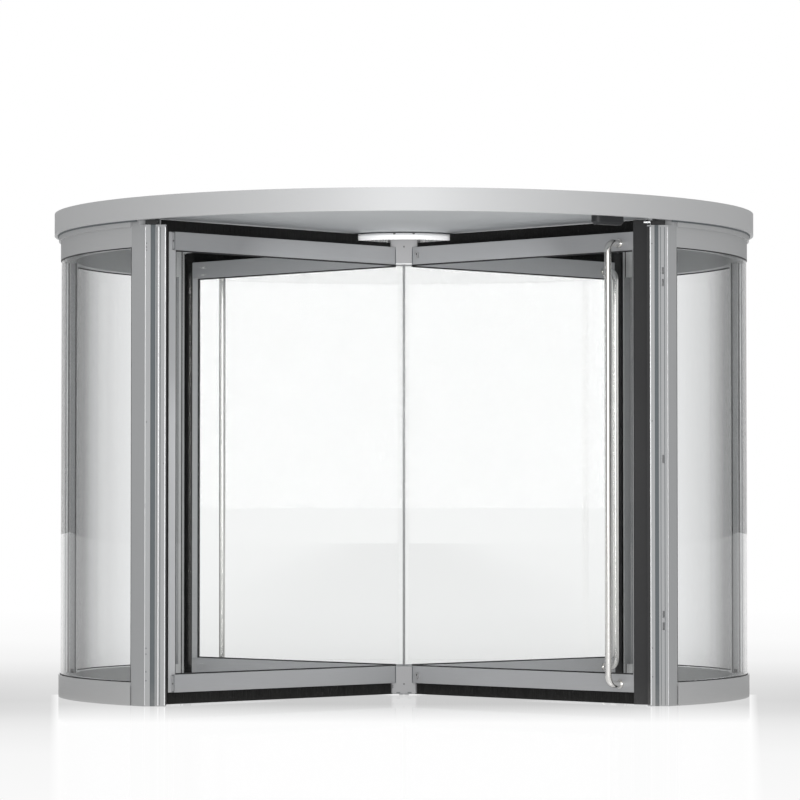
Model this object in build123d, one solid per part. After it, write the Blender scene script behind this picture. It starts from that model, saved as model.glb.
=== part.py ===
from build123d import *
import math
import os

# Revolving door with four wings in a glazed drum. Origin on the floor at the axis, front towards -Y.

# Driving sizes: clear radius and height, depth of the walls, and the gap that the brushes keep
drumRadius = 1500
clearHeight = 2100
wallDepth = 69
rotorClearance = 5

# Angles seen from the axis: the end of a curved wall and the posts' outer corners, from the front
wallEndAngle = 48.6
leftCornerAngle = 45.29
rightCornerAngle = 46.42

# Curved walls
sheet = 4
skirtHeight = 100
skirtOverhang = 6
topRailHeight = 123
trimHeight = 26
trimDrop = 9
trimOverhang = 9
glassLip = 3
curvedGlass = 12
glassBite = 12
mullionWidth = 50
paneGap = 10

# Posts at the four ends of the walls; grooves and slots are measured from the outer corner
postFaceWall = 14
postNose = 9
postSideAngle = 0.4
coverWall = 12
grooveDepth = 9
gasketDepth = 7
leftGroove = (24, 45)
rightGroove = (41, 58)
flangeDrop = 30
flangeNotch = 30
slotInset = 22
slotWidth = 8.5
slotHeights = ((1858, 1887), (1806, 1836), (1044, 1079), (379, 408), (326, 359))

# Canopy
canopyOverhang = 29
fasciaSheet = 3
fasciaHeight = 98
lipGap = 2
upperLip = 30
ceilingSheet = 12
ceilingHole = 34
edgeFit = 0.3
beamWidth = 80
beamHeight = 60
beamSetback = 14
bearingRadius = 55
bearingFlange = 75
bearingFlangeThick = 8

# Rotor hub
shaftRadius = 25
shaftFit = 0.3
discRadius = 295
discThick = 25
discDrop = 9
topStem = 75
topBar = 132
topBarHeight = 31
bottomStem = 77
bottomBase = 120
sealReach = 7.5
pinRadius = 10
pinTop = 36
padRadius = 23
padTop = 4

# Wings
wingAzimuths = {"wing_1": 315, "wing_2": 45, "wing_3": 135, "wing_4": 225}
wingThick = 50
wingSheet = 3
bottomBrush = 56
topBrush = 55
bottomRail = 76
topRail = 78
stileThick = 16
stileSetback = 49
stileWidth = 40
stileLap = 19
wingGlass = 8
wingBite = 12
brushThick = 12
brushBite = 10
discGap = 5
stripShoulder = 8
stripTip = 2

# Handles and locks
handleRadius = 15
handleWall = 2
handleReach = 75
handleBend = 40
handleSetback = 150
handleInset = 34
handleDrop = 102
collarRadius = 20
collarThick = 6
lockX = 112
lockInset = 37
lockWidth = 17
lockHeight = 28
lockProud = 6

# Motion sensors under the canopy rim
sensorTurn = 34.3
sensorGap = 9
sensorLength = 158
sensorDepth = 56
sensorHeight = 43
sensorChamfer = 10

# Radii worked out from the driving sizes
outerRadius = drumRadius + wallDepth
glassOuter = outerRadius - glassLip
glassInner = glassOuter - curvedGlass
coverInner = glassInner - coverWall
canopyRadius = outerRadius + canopyOverhang
plateRadius = canopyRadius - fasciaSheet - edgeFit
tipRadius = drumRadius - rotorClearance
stileEnd = tipRadius - stileSetback
stileInner = stileEnd - stileWidth
railEnd = stileInner + stileLap
handleX = tipRadius - handleSetback

# Heights worked out from the driving sizes
topRailBase = clearHeight - topRailHeight
trimTop = clearHeight - trimDrop
trimBase = trimTop - trimHeight
flangeTop = clearHeight - flangeDrop
fasciaTop = trimTop + fasciaHeight
beamBase = clearHeight + ceilingSheet
beamTop = beamBase + beamHeight
discTop = clearHeight - discDrop
discBase = discTop - discThick
topBarBase = discBase - topBarHeight
wingRailTop = clearHeight - topBrush
wingRailBase = wingRailTop - topRail
bottomRailTop = bottomBrush + bottomRail
handleLow = bottomBrush + handleInset
handleHigh = clearHeight - handleDrop

# Other values worked out from them
halfSpan = 90 - wallEndAngle
biteAngle = math.degrees(glassBite / glassOuter)
half = wingThick / 2
stileHalf = stileThick / 2


def revolved(points, start, sweep):
    """Turns an (r, z) outline about the axis, from an azimuth and through an angle."""
    outline = make_face(Plane.XZ * Polyline(*points, close=True))
    return Rot(0, 0, start) * revolve(outline, Axis.Z, sweep)


def box(x, y, z):
    """A block from its three ranges."""
    sizes = [high - low for low, high in (x, y, z)]
    centre = [(low + high) / 2 for low, high in (x, y, z)]
    return Pos(*centre) * Box(*sizes)


def square(width, low, high):
    """A square block on the axis, with its sides along X and Y."""
    return box((-width / 2, width / 2), (-width / 2, width / 2), (low, high))


def on_wing(name, shape):
    """Places a piece drawn along +X on its wing. The push side is -Y there."""
    return Rot(0, 0, wingAzimuths[name]) * shape


def save(name, shape):
    """Writes one node."""
    export_step(shape, f"parts/{name}.step")


# Curved rails and skirts
def top_rail(azimuth):
    """Hollow rail over the curved glass, with the trim step and the glass groove."""
    grooveTop = topRailBase + glassBite
    trimRadius = outerRadius + trimOverhang
    outline = [(drumRadius, topRailBase), (glassInner, topRailBase), (glassInner, grooveTop),
               (glassOuter, grooveTop), (glassOuter, topRailBase), (outerRadius, topRailBase),
               (outerRadius, trimBase), (trimRadius, trimBase), (trimRadius, trimTop),
               (outerRadius, trimTop), (outerRadius, clearHeight), (drumRadius, clearHeight)]
    chamber = [(drumRadius + sheet, topRailBase + sheet), (glassInner - sheet, topRailBase + sheet),
               (glassInner - sheet, grooveTop + sheet), (outerRadius - sheet, grooveTop + sheet),
               (outerRadius - sheet, clearHeight - sheet), (drumRadius + sheet, clearHeight - sheet)]
    rail = revolved(outline, azimuth - halfSpan, 2 * halfSpan)
    return rail - revolved(chamber, azimuth - halfSpan, 2 * halfSpan)


def skirt(azimuth):
    """Hollow skirt under the curved glass."""
    grooveBase = skirtHeight - glassBite
    skirtRadius = outerRadius + skirtOverhang
    outline = [(drumRadius, 0), (skirtRadius, 0), (skirtRadius, skirtHeight), (glassOuter, skirtHeight),
               (glassOuter, grooveBase), (glassInner, grooveBase), (glassInner, skirtHeight),
               (drumRadius, skirtHeight)]
    chamber = [(drumRadius + sheet, sheet), (skirtRadius - sheet, sheet),
               (skirtRadius - sheet, grooveBase - sheet), (glassInner - sheet, grooveBase - sheet),
               (glassInner - sheet, skirtHeight - sheet), (drumRadius + sheet, skirtHeight - sheet)]
    piece = revolved(outline, azimuth - halfSpan, 2 * halfSpan)
    return piece - revolved(chamber, azimuth - halfSpan, 2 * halfSpan)


def curved_panes(azimuth):
    """Two bent panes, one on each side of the mullion, let into rails and posts."""
    low = skirtHeight - glassBite
    high = topRailBase + glassBite
    full = [(glassInner, low), (glassOuter, low), (glassOuter, high), (glassInner, high)]
    middle = [(glassInner, skirtHeight), (glassOuter, skirtHeight), (glassOuter, topRailBase),
              (glassInner, topRailBase)]
    gapAngle = math.degrees(paneGap / 2 / glassOuter)
    sweep = halfSpan - gapAngle
    first = revolved(full, azimuth + gapAngle, sweep)
    first += revolved(middle, azimuth + gapAngle, sweep + biteAngle)
    second = revolved(full, azimuth - gapAngle - sweep, sweep)
    second += revolved(middle, azimuth - gapAngle - sweep - biteAngle, sweep + biteAngle)
    return [first, second]


def mullion(azimuth):
    """Hollow middle post behind the joint of the two panes, with a fin between them."""
    def between(inner, outer, width):
        angle = math.degrees(width / outer)
        outline = [(inner, skirtHeight), (outer, skirtHeight), (outer, topRailBase), (inner, topRailBase)]
        return revolved(outline, azimuth - angle / 2, angle)

    body = between(drumRadius, glassInner, mullionWidth)
    chamber = between(drumRadius + sheet, glassInner - sheet, mullionWidth - 2 * sheet)
    return (body - chamber) + between(glassInner, glassOuter, paneGap)


# Posts
def post_outline(faceY, inner, outer, end):
    """Plan of a front right post: two arcs, the flat face to the front and the radial end."""
    def polar(radius, angle):
        return (radius * math.sin(math.radians(angle)), -radius * math.cos(math.radians(angle)))

    def on_face(radius):
        return math.degrees(math.acos(faceY / radius))

    outerMid = polar(outer, (end + on_face(outer)) / 2)
    innerMid = polar(inner, (end + on_face(inner)) / 2)
    outerArc = ThreePointArc(polar(outer, end), outerMid, polar(outer, on_face(outer)))
    innerArc = ThreePointArc(polar(inner, on_face(inner)), innerMid, polar(inner, end))
    return make_face([outerArc, Line(outerArc @ 1, innerArc @ 0), innerArc, Line(innerArc @ 1, outerArc @ 0)])


def from_corner(cornerAngle, inset):
    """X ranges on a front right post's flat face, from distances to its outer corner."""
    corner = outerRadius * math.sin(math.radians(cornerAngle))
    return (corner - inset[1], corner - inset[0])


def post(cornerAngle, groove, slots):
    """Front right post: a hollow body to the floor, and the cover over the edge of the bent pane."""
    faceY = outerRadius * math.cos(math.radians(cornerAngle))
    sideAngle = cornerAngle + postSideAngle
    wallAngle = math.degrees(sheet / drumRadius)
    solid = extrude(post_outline(faceY, drumRadius, outerRadius, wallEndAngle), clearHeight)
    solid = chamfer(solid.edges().filter_by(Axis.Z).sort_by(Axis.X)[0], postNose)
    behind = [(drumRadius - sheet, skirtHeight), (coverInner, skirtHeight), (coverInner, topRailBase),
              (drumRadius - sheet, topRailBase)]
    solid -= revolved(behind, sideAngle - 90, wallEndAngle - sideAngle)
    chamber = post_outline(faceY - postFaceWall, drumRadius + sheet, coverInner - sheet, sideAngle - wallAngle)
    solid -= extrude(chamber, clearHeight)
    solid -= box(from_corner(cornerAngle, groove), (-faceY, grooveDepth - faceY), (0, clearHeight))
    glassGroove = [(glassInner, skirtHeight), (glassOuter, skirtHeight), (glassOuter, topRailBase),
                   (glassInner, topRailBase)]
    solid -= revolved(glassGroove, wallEndAngle - 90 - biteAngle, 2 * biteAngle)
    solid -= box((0, canopyRadius), (-faceY, flangeNotch - faceY), (flangeTop, clearHeight))
    across = from_corner(cornerAngle, (slotInset - slotWidth / 2, slotInset + slotWidth / 2))
    for low, high in slots:
        solid -= box(across, (-faceY, postFaceWall - faceY), (low, high))
    return solid


def gasket(cornerAngle, groove):
    """Seal let into the groove of a post's flat face."""
    faceY = outerRadius * math.cos(math.radians(cornerAngle))
    depth = (grooveDepth - gasketDepth - faceY, grooveDepth - faceY)
    return box(from_corner(cornerAngle, groove), depth, (0, flangeTop))


# Canopy
def fascia():
    """Bent sheet round the canopy, with a lip under it and a rebate for the roof."""
    inner = canopyRadius - fasciaSheet
    lowerLip = outerRadius + lipGap
    roofLip = inner - upperLip
    roofSeat = fasciaTop - fasciaSheet
    outline = [(lowerLip, trimTop), (canopyRadius, trimTop), (canopyRadius, fasciaTop), (inner, fasciaTop),
               (inner, roofSeat), (roofLip, roofSeat), (roofLip, roofSeat - fasciaSheet),
               (inner, roofSeat - fasciaSheet), (inner, trimTop + fasciaSheet),
               (lowerLip, trimTop + fasciaSheet)]
    return revolved(outline, 0, 360)


def disc(radius, low, high, hole=0):
    """Round plate on the axis."""
    plate = Pos(0, 0, (low + high) / 2) * Cylinder(radius, high - low)
    if hole:
        plate -= Pos(0, 0, (low + high) / 2) * Cylinder(hole, high - low)
    return plate


def canopy_beams():
    """Cross of box beams over the ceiling, with a sleeve for the bearing."""
    long = outerRadius - beamSetback
    wide = beamWidth / 2
    height = (beamBase, beamTop)
    outer = box((-long, long), (-wide, wide), height) + box((-wide, wide), (-long, long), height)
    inside = (beamBase + sheet, beamTop - sheet)
    inner = box((-long, long), (sheet - wide, wide - sheet), inside)
    inner += box((sheet - wide, wide - sheet), (-long, long), inside)
    sleeve = disc(bearingFlange, beamBase, beamTop)
    return (outer - inner) + sleeve - disc(bearingRadius, beamBase, beamTop)


def shaft_bearing():
    """Flanged ring that guides the rotor's shaft."""
    ringTop = beamTop + bearingFlangeThick
    ring = disc(bearingRadius, beamBase, beamTop) + disc(bearingFlange, beamTop, ringTop)
    return ring - disc(shaftRadius + shaftFit, beamBase, ringTop)


def motion_sensor():
    """Sensor housing that hangs from the ceiling, outside the wings' sweep."""
    distance = drumRadius + sensorGap + sensorDepth / 2
    housing = extrude(SlotOverall(sensorLength, sensorDepth), sensorHeight)
    housing = chamfer(housing.faces().sort_by(Axis.Z)[0].edges(), sensorChamfer)
    return Rot(0, 0, sensorTurn) * Pos(0, -distance, clearHeight - sensorHeight) * housing


# Rotor hub
def top_hub_clamp():
    """T shaped clamp between the top rails, under the disc."""
    return square(topStem, wingRailBase, topBarBase) + square(topBar, topBarBase, discBase)


def bottom_hub_clamp():
    """Clamp on the floor pivot, wider at its foot."""
    block = square(bottomStem, bottomBrush, bottomRailTop)
    block += square(bottomBase, rotorClearance, bottomBrush)
    return block - disc(pinRadius + shaftFit, 0, pinTop + rotorClearance)


def centre_seal():
    """Eight-sided seal that the four panes meet at, with its flats across the wings."""
    flat = wingGlass / 2
    quarter = [(sealReach, -flat), (sealReach, flat)]
    corners = []
    for turn in range(4):
        angle = math.radians(90 * turn)
        for x, y in quarter:
            corners.append((x * math.cos(angle) - y * math.sin(angle), x * math.sin(angle) + y * math.cos(angle)))
    outline = make_face(Polyline(*corners, close=True))
    return Rot(0, 0, 45) * Pos(0, 0, bottomRailTop) * extrude(outline, wingRailBase - bottomRailTop)


def hub_disc():
    """Disc under the ceiling, with the shaft that turns in the bearing."""
    plate = chamfer(disc(discRadius, discBase, discTop).faces().sort_by(Axis.Z)[0].edges(), fasciaSheet)
    return plate + disc(shaftRadius, discTop, beamTop + bearingFlangeThick)


def floor_bearing():
    """Floor pad with the pin that the rotor stands on."""
    return disc(padRadius, 0, padTop) + disc(pinRadius, padTop, pinTop)


# Wings, drawn along +X
def hub_blocks():
    """Both clamps as they lie in a wing's own frame."""
    top = square(topStem, wingRailBase, topBarBase) + square(topBar, topBarBase, discBase)
    bottom = square(bottomStem, bottomBrush, bottomRailTop) + square(bottomBase, 0, bottomBrush)
    return Rot(0, 0, 45) * (top + bottom)


def wing_rails():
    """Top and bottom rails, each hollow with a closed end, with grooves for glass and brush."""
    skin = half - wingSheet
    glassHalf = wingGlass / 2
    brushHalf = brushThick / 2
    long = (0, railEnd)
    inside = (0, railEnd - wingSheet)
    top = box(long, (-half, half), (wingRailBase, wingRailTop))
    top -= box(inside, (-skin, skin), (wingRailBase + wingBite + wingSheet, wingRailTop - brushBite - wingSheet))
    top -= box(long, (-glassHalf, glassHalf), (wingRailBase, wingRailBase + wingBite))
    top -= box(long, (-brushHalf, brushHalf), (wingRailTop - brushBite, wingRailTop))
    low = box(long, (-half, half), (bottomBrush, bottomRailTop))
    low -= box(inside, (-skin, skin), (bottomBrush + brushBite + wingSheet, bottomRailTop - wingBite - wingSheet))
    low -= box(long, (-glassHalf, glassHalf), (bottomRailTop - wingBite, bottomRailTop))
    low -= box(long, (-brushHalf, brushHalf), (bottomBrush, bottomBrush + brushBite))
    blocks = hub_blocks()
    return [top - blocks, low - blocks]


def wing_stile():
    """Thin hollow stile, notched round the rails' ends, with grooves for glass and brush."""
    skin = stileHalf - wingSheet
    brushHalf = brushThick / 2
    height = (bottomBrush, wingRailTop)
    between = (bottomRailTop, wingRailBase)
    chamber = (stileInner + wingBite + wingSheet, stileEnd - brushBite - wingSheet)
    stile = box((railEnd, stileEnd), (-stileHalf, stileHalf), height)
    stile += box((stileInner, railEnd), (-stileHalf, stileHalf), between)
    stile -= box((stileInner, stileInner + wingBite), (-wingGlass / 2, wingGlass / 2), between)
    stile -= box((stileEnd - brushBite, stileEnd), (-brushHalf, brushHalf), height)
    return stile - box(chamber, (-skin, skin), between)


def wing_pane():
    """Flat pane let into rails and stile, and cut back at the clamps."""
    clampReach = topStem / math.sqrt(2) + wingSheet
    glassHalf = wingGlass / 2
    edge = stileInner + wingBite
    pane = box((sealReach, edge), (-glassHalf, glassHalf), (bottomRailTop, wingRailBase))
    full = (bottomRailTop - wingBite, wingRailBase + wingBite)
    return pane + box((clampReach, edge), (-glassHalf, glassHalf), full)


def wing_brushes():
    """Brush strips along the top, the outer side and the foot of a wing, in one bent strip."""
    brushHalf = brushThick / 2
    tipLow = rotorClearance
    tipHigh = clearHeight - rotorClearance
    underDisc = discRadius + discGap
    across = (-brushHalf, brushHalf)
    strip = box((0, tipRadius), across, (wingRailTop, discBase))
    strip += box((underDisc, tipRadius), across, (discBase, tipHigh))
    strip += box((stileEnd - brushBite, tipRadius), across, (tipLow, tipHigh))
    strip += box((0, tipRadius), across, (tipLow, bottomBrush))
    strip += box((0, railEnd), across, (wingRailTop - brushBite, wingRailTop))
    strip += box((0, railEnd), across, (bottomBrush, bottomBrush + brushBite))
    return strip - hub_blocks()


def edge_strip():
    """Full-height rubber strip that slants from the rails' push face to the brush's tip."""
    tip = -brushThick / 2
    outline = make_face(Polyline((railEnd, -stileHalf), (railEnd, -half), (railEnd + stripShoulder, -half),
                                 (tipRadius, tip - stripTip), (tipRadius, tip), (stileEnd, tip),
                                 (stileEnd, -stileHalf), close=True))
    return Pos(0, 0, rotorClearance) * extrude(outline, clearHeight - 2 * rotorClearance)


def handle():
    """Full-height tube handle on two bent legs, with a collar at each rail."""
    out = -half - handleReach
    route = FilletPolyline((handleX, -half, handleLow), (handleX, out, handleLow), (handleX, out, handleHigh),
                           (handleX, -half, handleHigh), radius=handleBend)
    start = Plane(origin=route @ 0, z_dir=route % 0)
    tube = sweep(start * Circle(handleRadius), path=route)
    tube -= sweep(start * Circle(handleRadius - handleWall), path=route)
    for z in (handleLow, handleHigh):
        collar = Cylinder(collarRadius, collarThick) - Cylinder(handleRadius, collarThick)
        tube += Pos(handleX, -half - collarThick / 2, z) * Rot(90, 0, 0) * collar
    return tube


def lock_cylinder(z):
    """Oval lock cylinder proud of a rail's push side."""
    oval = extrude(SlotOverall(lockHeight, lockWidth), lockProud)
    return Pos(lockX, -half, z) * Rot(90, 0, 0) * Rot(0, 0, 90) * oval


os.makedirs("parts", exist_ok=True)

# Drum
for side, azimuth in (("left", 180), ("right", 0)):
    save(f"{side}_top_rail", top_rail(azimuth))
    save(f"{side}_skirt", skirt(azimuth))
    save(f"{side}_curved_glass", Compound(children=curved_panes(azimuth)))
    save(f"{side}_mullion", mullion(azimuth))

frontRight = post(rightCornerAngle, rightGroove, slotHeights)
frontLeft = mirror(post(leftCornerAngle, leftGroove, ()), Plane.YZ)
save("front_right_post", frontRight)
save("front_left_post", frontLeft)
save("rear_left_post", Rot(0, 0, 180) * frontRight)
save("rear_right_post", Rot(0, 0, 180) * frontLeft)
frontGaskets = [gasket(rightCornerAngle, rightGroove), mirror(gasket(leftCornerAngle, leftGroove), Plane.YZ)]
save("post_gaskets", Compound(children=frontGaskets + [Rot(0, 0, 180) * piece for piece in frontGaskets]))

# Canopy
save("canopy_fascia", fascia())
save("roof_cover", disc(plateRadius, fasciaTop - fasciaSheet, fasciaTop))
save("ceiling_panel", disc(plateRadius, clearHeight, beamBase, ceilingHole))
save("canopy_beams", canopy_beams())
save("shaft_bearing", shaft_bearing())
sensor = motion_sensor()
save("motion_sensors", Compound(children=[sensor, Rot(0, 0, 180) * sensor]))
save("floor_bearing", floor_bearing())

# Rotor
save("hub_disc", hub_disc())
save("top_hub_clamp", top_hub_clamp())
save("bottom_hub_clamp", bottom_hub_clamp())
save("centre_seal", centre_seal())
locks = []
for name in wingAzimuths:
    save(f"{name}_rails", Compound(children=[on_wing(name, rail) for rail in wing_rails()]))
    save(f"{name}_stile", on_wing(name, wing_stile()))
    save(f"{name}_glass", on_wing(name, wing_pane()))
    save(f"{name}_brushes", on_wing(name, wing_brushes()))
    save(f"{name}_edge_strip", on_wing(name, edge_strip()))
    save(f"{name}_handle", on_wing(name, handle()))
    locks += [on_wing(name, lock_cylinder(z)) for z in (handleLow, wingRailTop - lockInset)]
save("lock_cylinders", Compound(children=locks))
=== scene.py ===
import math
import bpy
import bmesh
from mathutils import Matrix, Vector


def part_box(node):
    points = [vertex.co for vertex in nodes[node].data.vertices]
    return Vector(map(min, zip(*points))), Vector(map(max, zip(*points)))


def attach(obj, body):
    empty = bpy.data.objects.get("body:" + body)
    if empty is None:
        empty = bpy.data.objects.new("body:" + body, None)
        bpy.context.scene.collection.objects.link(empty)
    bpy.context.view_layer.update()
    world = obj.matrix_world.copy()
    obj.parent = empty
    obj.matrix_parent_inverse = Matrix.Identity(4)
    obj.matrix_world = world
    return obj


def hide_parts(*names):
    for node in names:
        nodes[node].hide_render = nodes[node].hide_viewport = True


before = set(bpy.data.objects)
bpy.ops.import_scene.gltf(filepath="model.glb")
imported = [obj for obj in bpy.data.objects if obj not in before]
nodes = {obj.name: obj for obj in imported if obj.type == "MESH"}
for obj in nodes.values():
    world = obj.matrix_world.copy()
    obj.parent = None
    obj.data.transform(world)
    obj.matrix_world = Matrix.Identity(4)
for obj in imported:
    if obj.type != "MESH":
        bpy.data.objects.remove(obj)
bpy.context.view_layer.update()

scene = bpy.context.scene
print("frame loaded:", len(nodes), "nodes")

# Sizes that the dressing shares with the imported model, in metres and degrees
door = {
    "glassInner": 1.554, "glassOuter": 1.566, "skirtTop": 0.100, "railBase": 1.977, "wallEnd": 48.6,
    "wingHalf": 0.025, "stileHalf": 0.008, "stileInner": 1.406, "railEnd": 1.425,
    "bottomRail": (0.056, 0.132), "topRail": (1.967, 2.045),
}
wingAzimuths = {"wing_1": 315, "wing_2": 45, "wing_3": 135, "wing_4": 225}

# Front posts: x of the outer corner, distance of the face, and the way to the middle
posts = {"left": (-1.11508, 1.10379, 1), "right": (1.13666, 1.08155, -1)}


# Node helpers
def newGroup(name, kind, inputs, outputs):
    group = bpy.data.node_groups.new(name, kind)
    for label, socketKind, value in inputs:
        socket = group.interface.new_socket(label, in_out="INPUT", socket_type="NodeSocket" + socketKind)
        if value is not None:
            socket.default_value = value
    for label, socketKind in outputs:
        group.interface.new_socket(label, in_out="OUTPUT", socket_type="NodeSocket" + socketKind)
    return group, group.nodes.new("NodeGroupInput").outputs, group.nodes.new("NodeGroupOutput")


def feed(tree, node, values):
    # Gives each input a plain value or a link from another node's output
    for label, value in values.items():
        if isinstance(value, bpy.types.NodeSocket):
            tree.links.new(value, node.inputs[label])
        else:
            node.inputs[label].default_value = value
    return node


def addNode(tree, kind, values):
    return feed(tree, tree.nodes.new(kind), values)


def mathNode(tree, operation, first, second=0, clamp=False):
    node = tree.nodes.new("ShaderNodeMath")
    node.operation = operation
    node.use_clamp = clamp
    return feed(tree, node, {0: first, 1: second}).outputs[0]


def vectorNode(tree, operation, values):
    node = tree.nodes.new("ShaderNodeVectorMath")
    node.operation = operation
    return feed(tree, node, values).outputs


def mixColour(tree, factor, first, second, blend="MIX"):
    node = tree.nodes.new("ShaderNodeMix")
    node.data_type = "RGBA"
    node.blend_type = blend
    return feed(tree, node, {0: factor, 6: first, 7: second}).outputs[2]


def noiseNode(tree, vector, scale, detail):
    node = addNode(tree, "ShaderNodeTexNoise", {"Vector": vector, "Scale": scale, "Detail": detail})
    return node.outputs["Fac"]


def coordinates(tree, kind="Object"):
    # The position, and its three parts
    place = tree.nodes.new("ShaderNodeTexCoord").outputs[kind]
    return place, addNode(tree, "ShaderNodeSeparateXYZ", {0: place}).outputs


def greyRamp(tree, factor, stops):
    ramp = addNode(tree, "ShaderNodeValToRGB", {0: factor})
    while len(ramp.color_ramp.elements) < len(stops):
        ramp.color_ramp.elements.new(0.5)
    for element, (position, value) in zip(ramp.color_ramp.elements, stops):
        element.position = position
        element.color = (value, value, value, 1)
    return ramp.outputs["Color"]


def mixShaders(tree, factor, first, second):
    return addNode(tree, "ShaderNodeMixShader", {0: factor, 1: first.outputs[0], 2: second.outputs[0]}).outputs[0]


# Drawn metal or moulded grain: a fine noise stretched along one direction, over a broad soft one
grainShares = {"fine": 0.65, "fineDetail": 3.0, "broad": 0.35, "broadScale": 2.2, "broadDetail": 2.0}


def buildGrain():
    group, given, result = newGroup("drawnGrain", "ShaderNodeTree", [
        ("Colour", "Color", (0.5, 0.5, 0.5, 1)), ("Streak Colour", "Color", (0.4, 0.4, 0.4, 1)),
        ("Stretch", "Vector", (400, 400, 6)), ("Contrast", "Float", 0.5),
        ("Roughness", "Float", 0.4), ("Roughness Spread", "Float", 0.1)],
        [("Colour", "Color"), ("Roughness", "Float"), ("Height", "Float")])
    place = group.nodes.new("ShaderNodeTexCoord").outputs["Object"]
    stretched = vectorNode(group, "MULTIPLY", {0: place, 1: given["Stretch"]})[0]
    fine = noiseNode(group, stretched, 1.0, grainShares["fineDetail"])
    broad = noiseNode(group, place, grainShares["broadScale"], grainShares["broadDetail"])
    blend = mathNode(group, "ADD", mathNode(group, "MULTIPLY", fine, grainShares["fine"]),
                     mathNode(group, "MULTIPLY", broad, grainShares["broad"]))
    factor = mathNode(group, "MULTIPLY", blend, given["Contrast"], True)
    spread = mathNode(group, "MULTIPLY", mathNode(group, "SUBTRACT", blend, 0.5), given["Roughness Spread"])
    feed(group, result, {
        "Colour": mixColour(group, factor, given["Colour"], given["Streak Colour"]),
        "Roughness": mathNode(group, "ADD", given["Roughness"], spread, True), "Height": fine})
    return group


def buildDust():
    # Dust and scuffs that gather near the floor, as a mask
    group, given, result = newGroup("floorDust", "ShaderNodeTree", [
        ("Reach", "Float", 0.12), ("Amount", "Float", 0.3), ("Speck Scale", "Float", 55.0)], [("Mask", "Float")])
    place, parts = coordinates(group)
    low = mathNode(group, "SUBTRACT", 1.0, mathNode(group, "DIVIDE", parts["Z"], given["Reach"]), True)
    specks = noiseNode(group, place, given["Speck Scale"], 5.0)
    mask = mathNode(group, "MULTIPLY", mathNode(group, "MULTIPLY", low, specks), given["Amount"], True)
    feed(group, result, {"Mask": mask})
    return group


grainGroup = buildGrain()
dustGroup = buildDust()
dustColour = (0.42, 0.40, 0.37, 1)


def startFinish(name, look):
    # Metal and glass begin alike: a grain that gives the colour and the roughness
    material = bpy.data.materials.new(name)
    material.use_nodes = True
    tree = material.node_tree
    grain = tree.nodes.new("ShaderNodeGroup")
    grain.node_tree = grainGroup
    feed(tree, grain, {
        "Colour": (*look["colour"], 1), "Streak Colour": (*look["streak"], 1), "Stretch": look["stretch"],
        "Contrast": look["contrast"], "Roughness": look["roughness"], "Roughness Spread": look["spread"]})
    shader = feed(tree, tree.nodes["Principled BSDF"], {"Roughness": grain.outputs["Roughness"]})
    return material, tree, shader, grain.outputs


def innerLightAndSeal(tree, colour, look):
    # Painted light: towards the wings the metal is painted lighter, standing in for the light on the posts' inner
    # faces, with a black seal let in flush near the post's nose
    parts = coordinates(tree)[1]
    across = mathNode(tree, "ABSOLUTE", parts["X"])
    square = mathNode(tree, "ADD", mathNode(tree, "MULTIPLY", across, across),
                      mathNode(tree, "MULTIPLY", parts["Y"], parts["Y"]))
    insideLitZone = mathNode(tree, "LESS_THAN", square, look["radius"] ** 2)
    joint = mathNode(tree, "ABSOLUTE", mathNode(tree, "SUBTRACT", across, look["joint"]))
    dark = mathNode(tree, "MAXIMUM", mathNode(tree, "LESS_THAN", across, look["nose"]),
                    mathNode(tree, "LESS_THAN", joint, look["jointHalf"]))
    colour = mixColour(tree, insideLitZone, colour, (*look["colour"], 1))
    return mixColour(tree, mathNode(tree, "MULTIPLY", insideLitZone, dark), colour, (*look["seal"], 1))


def metalFinish(name, look):
    look = {**metalUsual, **look}
    material, tree, shader, grain = startFinish(name, look)
    colour = grain["Colour"]
    if look["dust"]:
        dust = tree.nodes.new("ShaderNodeGroup")
        dust.node_tree = dustGroup
        feed(tree, dust, {"Amount": look["dust"]})
        colour = mixColour(tree, dust.outputs["Mask"], colour, dustColour)
    if look["inner"]:
        colour = innerLightAndSeal(tree, colour, look["inner"])
    bump = addNode(tree, "ShaderNodeBump", {"Strength": look["bump"], "Distance": look["bumpDepth"],
                                            "Height": grain["Height"]})
    feed(tree, shader, {"Base Color": colour, "Normal": bump.outputs["Normal"], "Metallic": look["metallic"],
                        "Specular IOR Level": look["specular"]})
    material.diffuse_color = (*look["colour"], 1)
    return material


def glassFinish(name, look):
    # Clear glass that lets lamp light through, with a faint unevenness of colour
    look = {**glassUsual, **look}
    material, tree, shader, smear = startFinish(name, look)
    colour = smear["Colour"]
    if look["slantShade"]:
        # Painted shade: over a band of slanting view angles the colour is painted darker, standing in for the grey
        # of the bent glass seen edge-on
        facing = addNode(tree, "ShaderNodeLayerWeight", {"Blend": 0.5}).outputs["Facing"]
        colour = mixColour(tree, 1.0, colour, greyRamp(tree, facing, look["slantShade"]), "MULTIPLY")
    feed(tree, shader, {"Base Color": colour, "Metallic": 0.0, "Transmission Weight": 1.0, "IOR": look["ior"]})
    clear = addNode(tree, "ShaderNodeBsdfTransparent", {"Color": (*look["shadow"], 1)})
    ray = tree.nodes.new("ShaderNodeLightPath").outputs
    light = mathNode(tree, "MAXIMUM", ray["Is Shadow Ray"], ray["Is Diffuse Ray"])
    feed(tree, tree.nodes["Material Output"], {"Surface": mixShaders(tree, light, shader, clear)})
    material.diffuse_color = (*look["colour"], 0.3)
    return material


# What a finish has unless its own line says otherwise
metalUsual = {"contrast": 0.8, "spread": 0.10, "bump": 0.10, "bumpDepth": 0.0004, "metallic": 0.0,
              "specular": 0.5, "dust": 0.0, "inner": None}
glassUsual = {"contrast": 0.5, "roughness": 0.0, "spread": 0.0, "slantShade": None}

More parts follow.
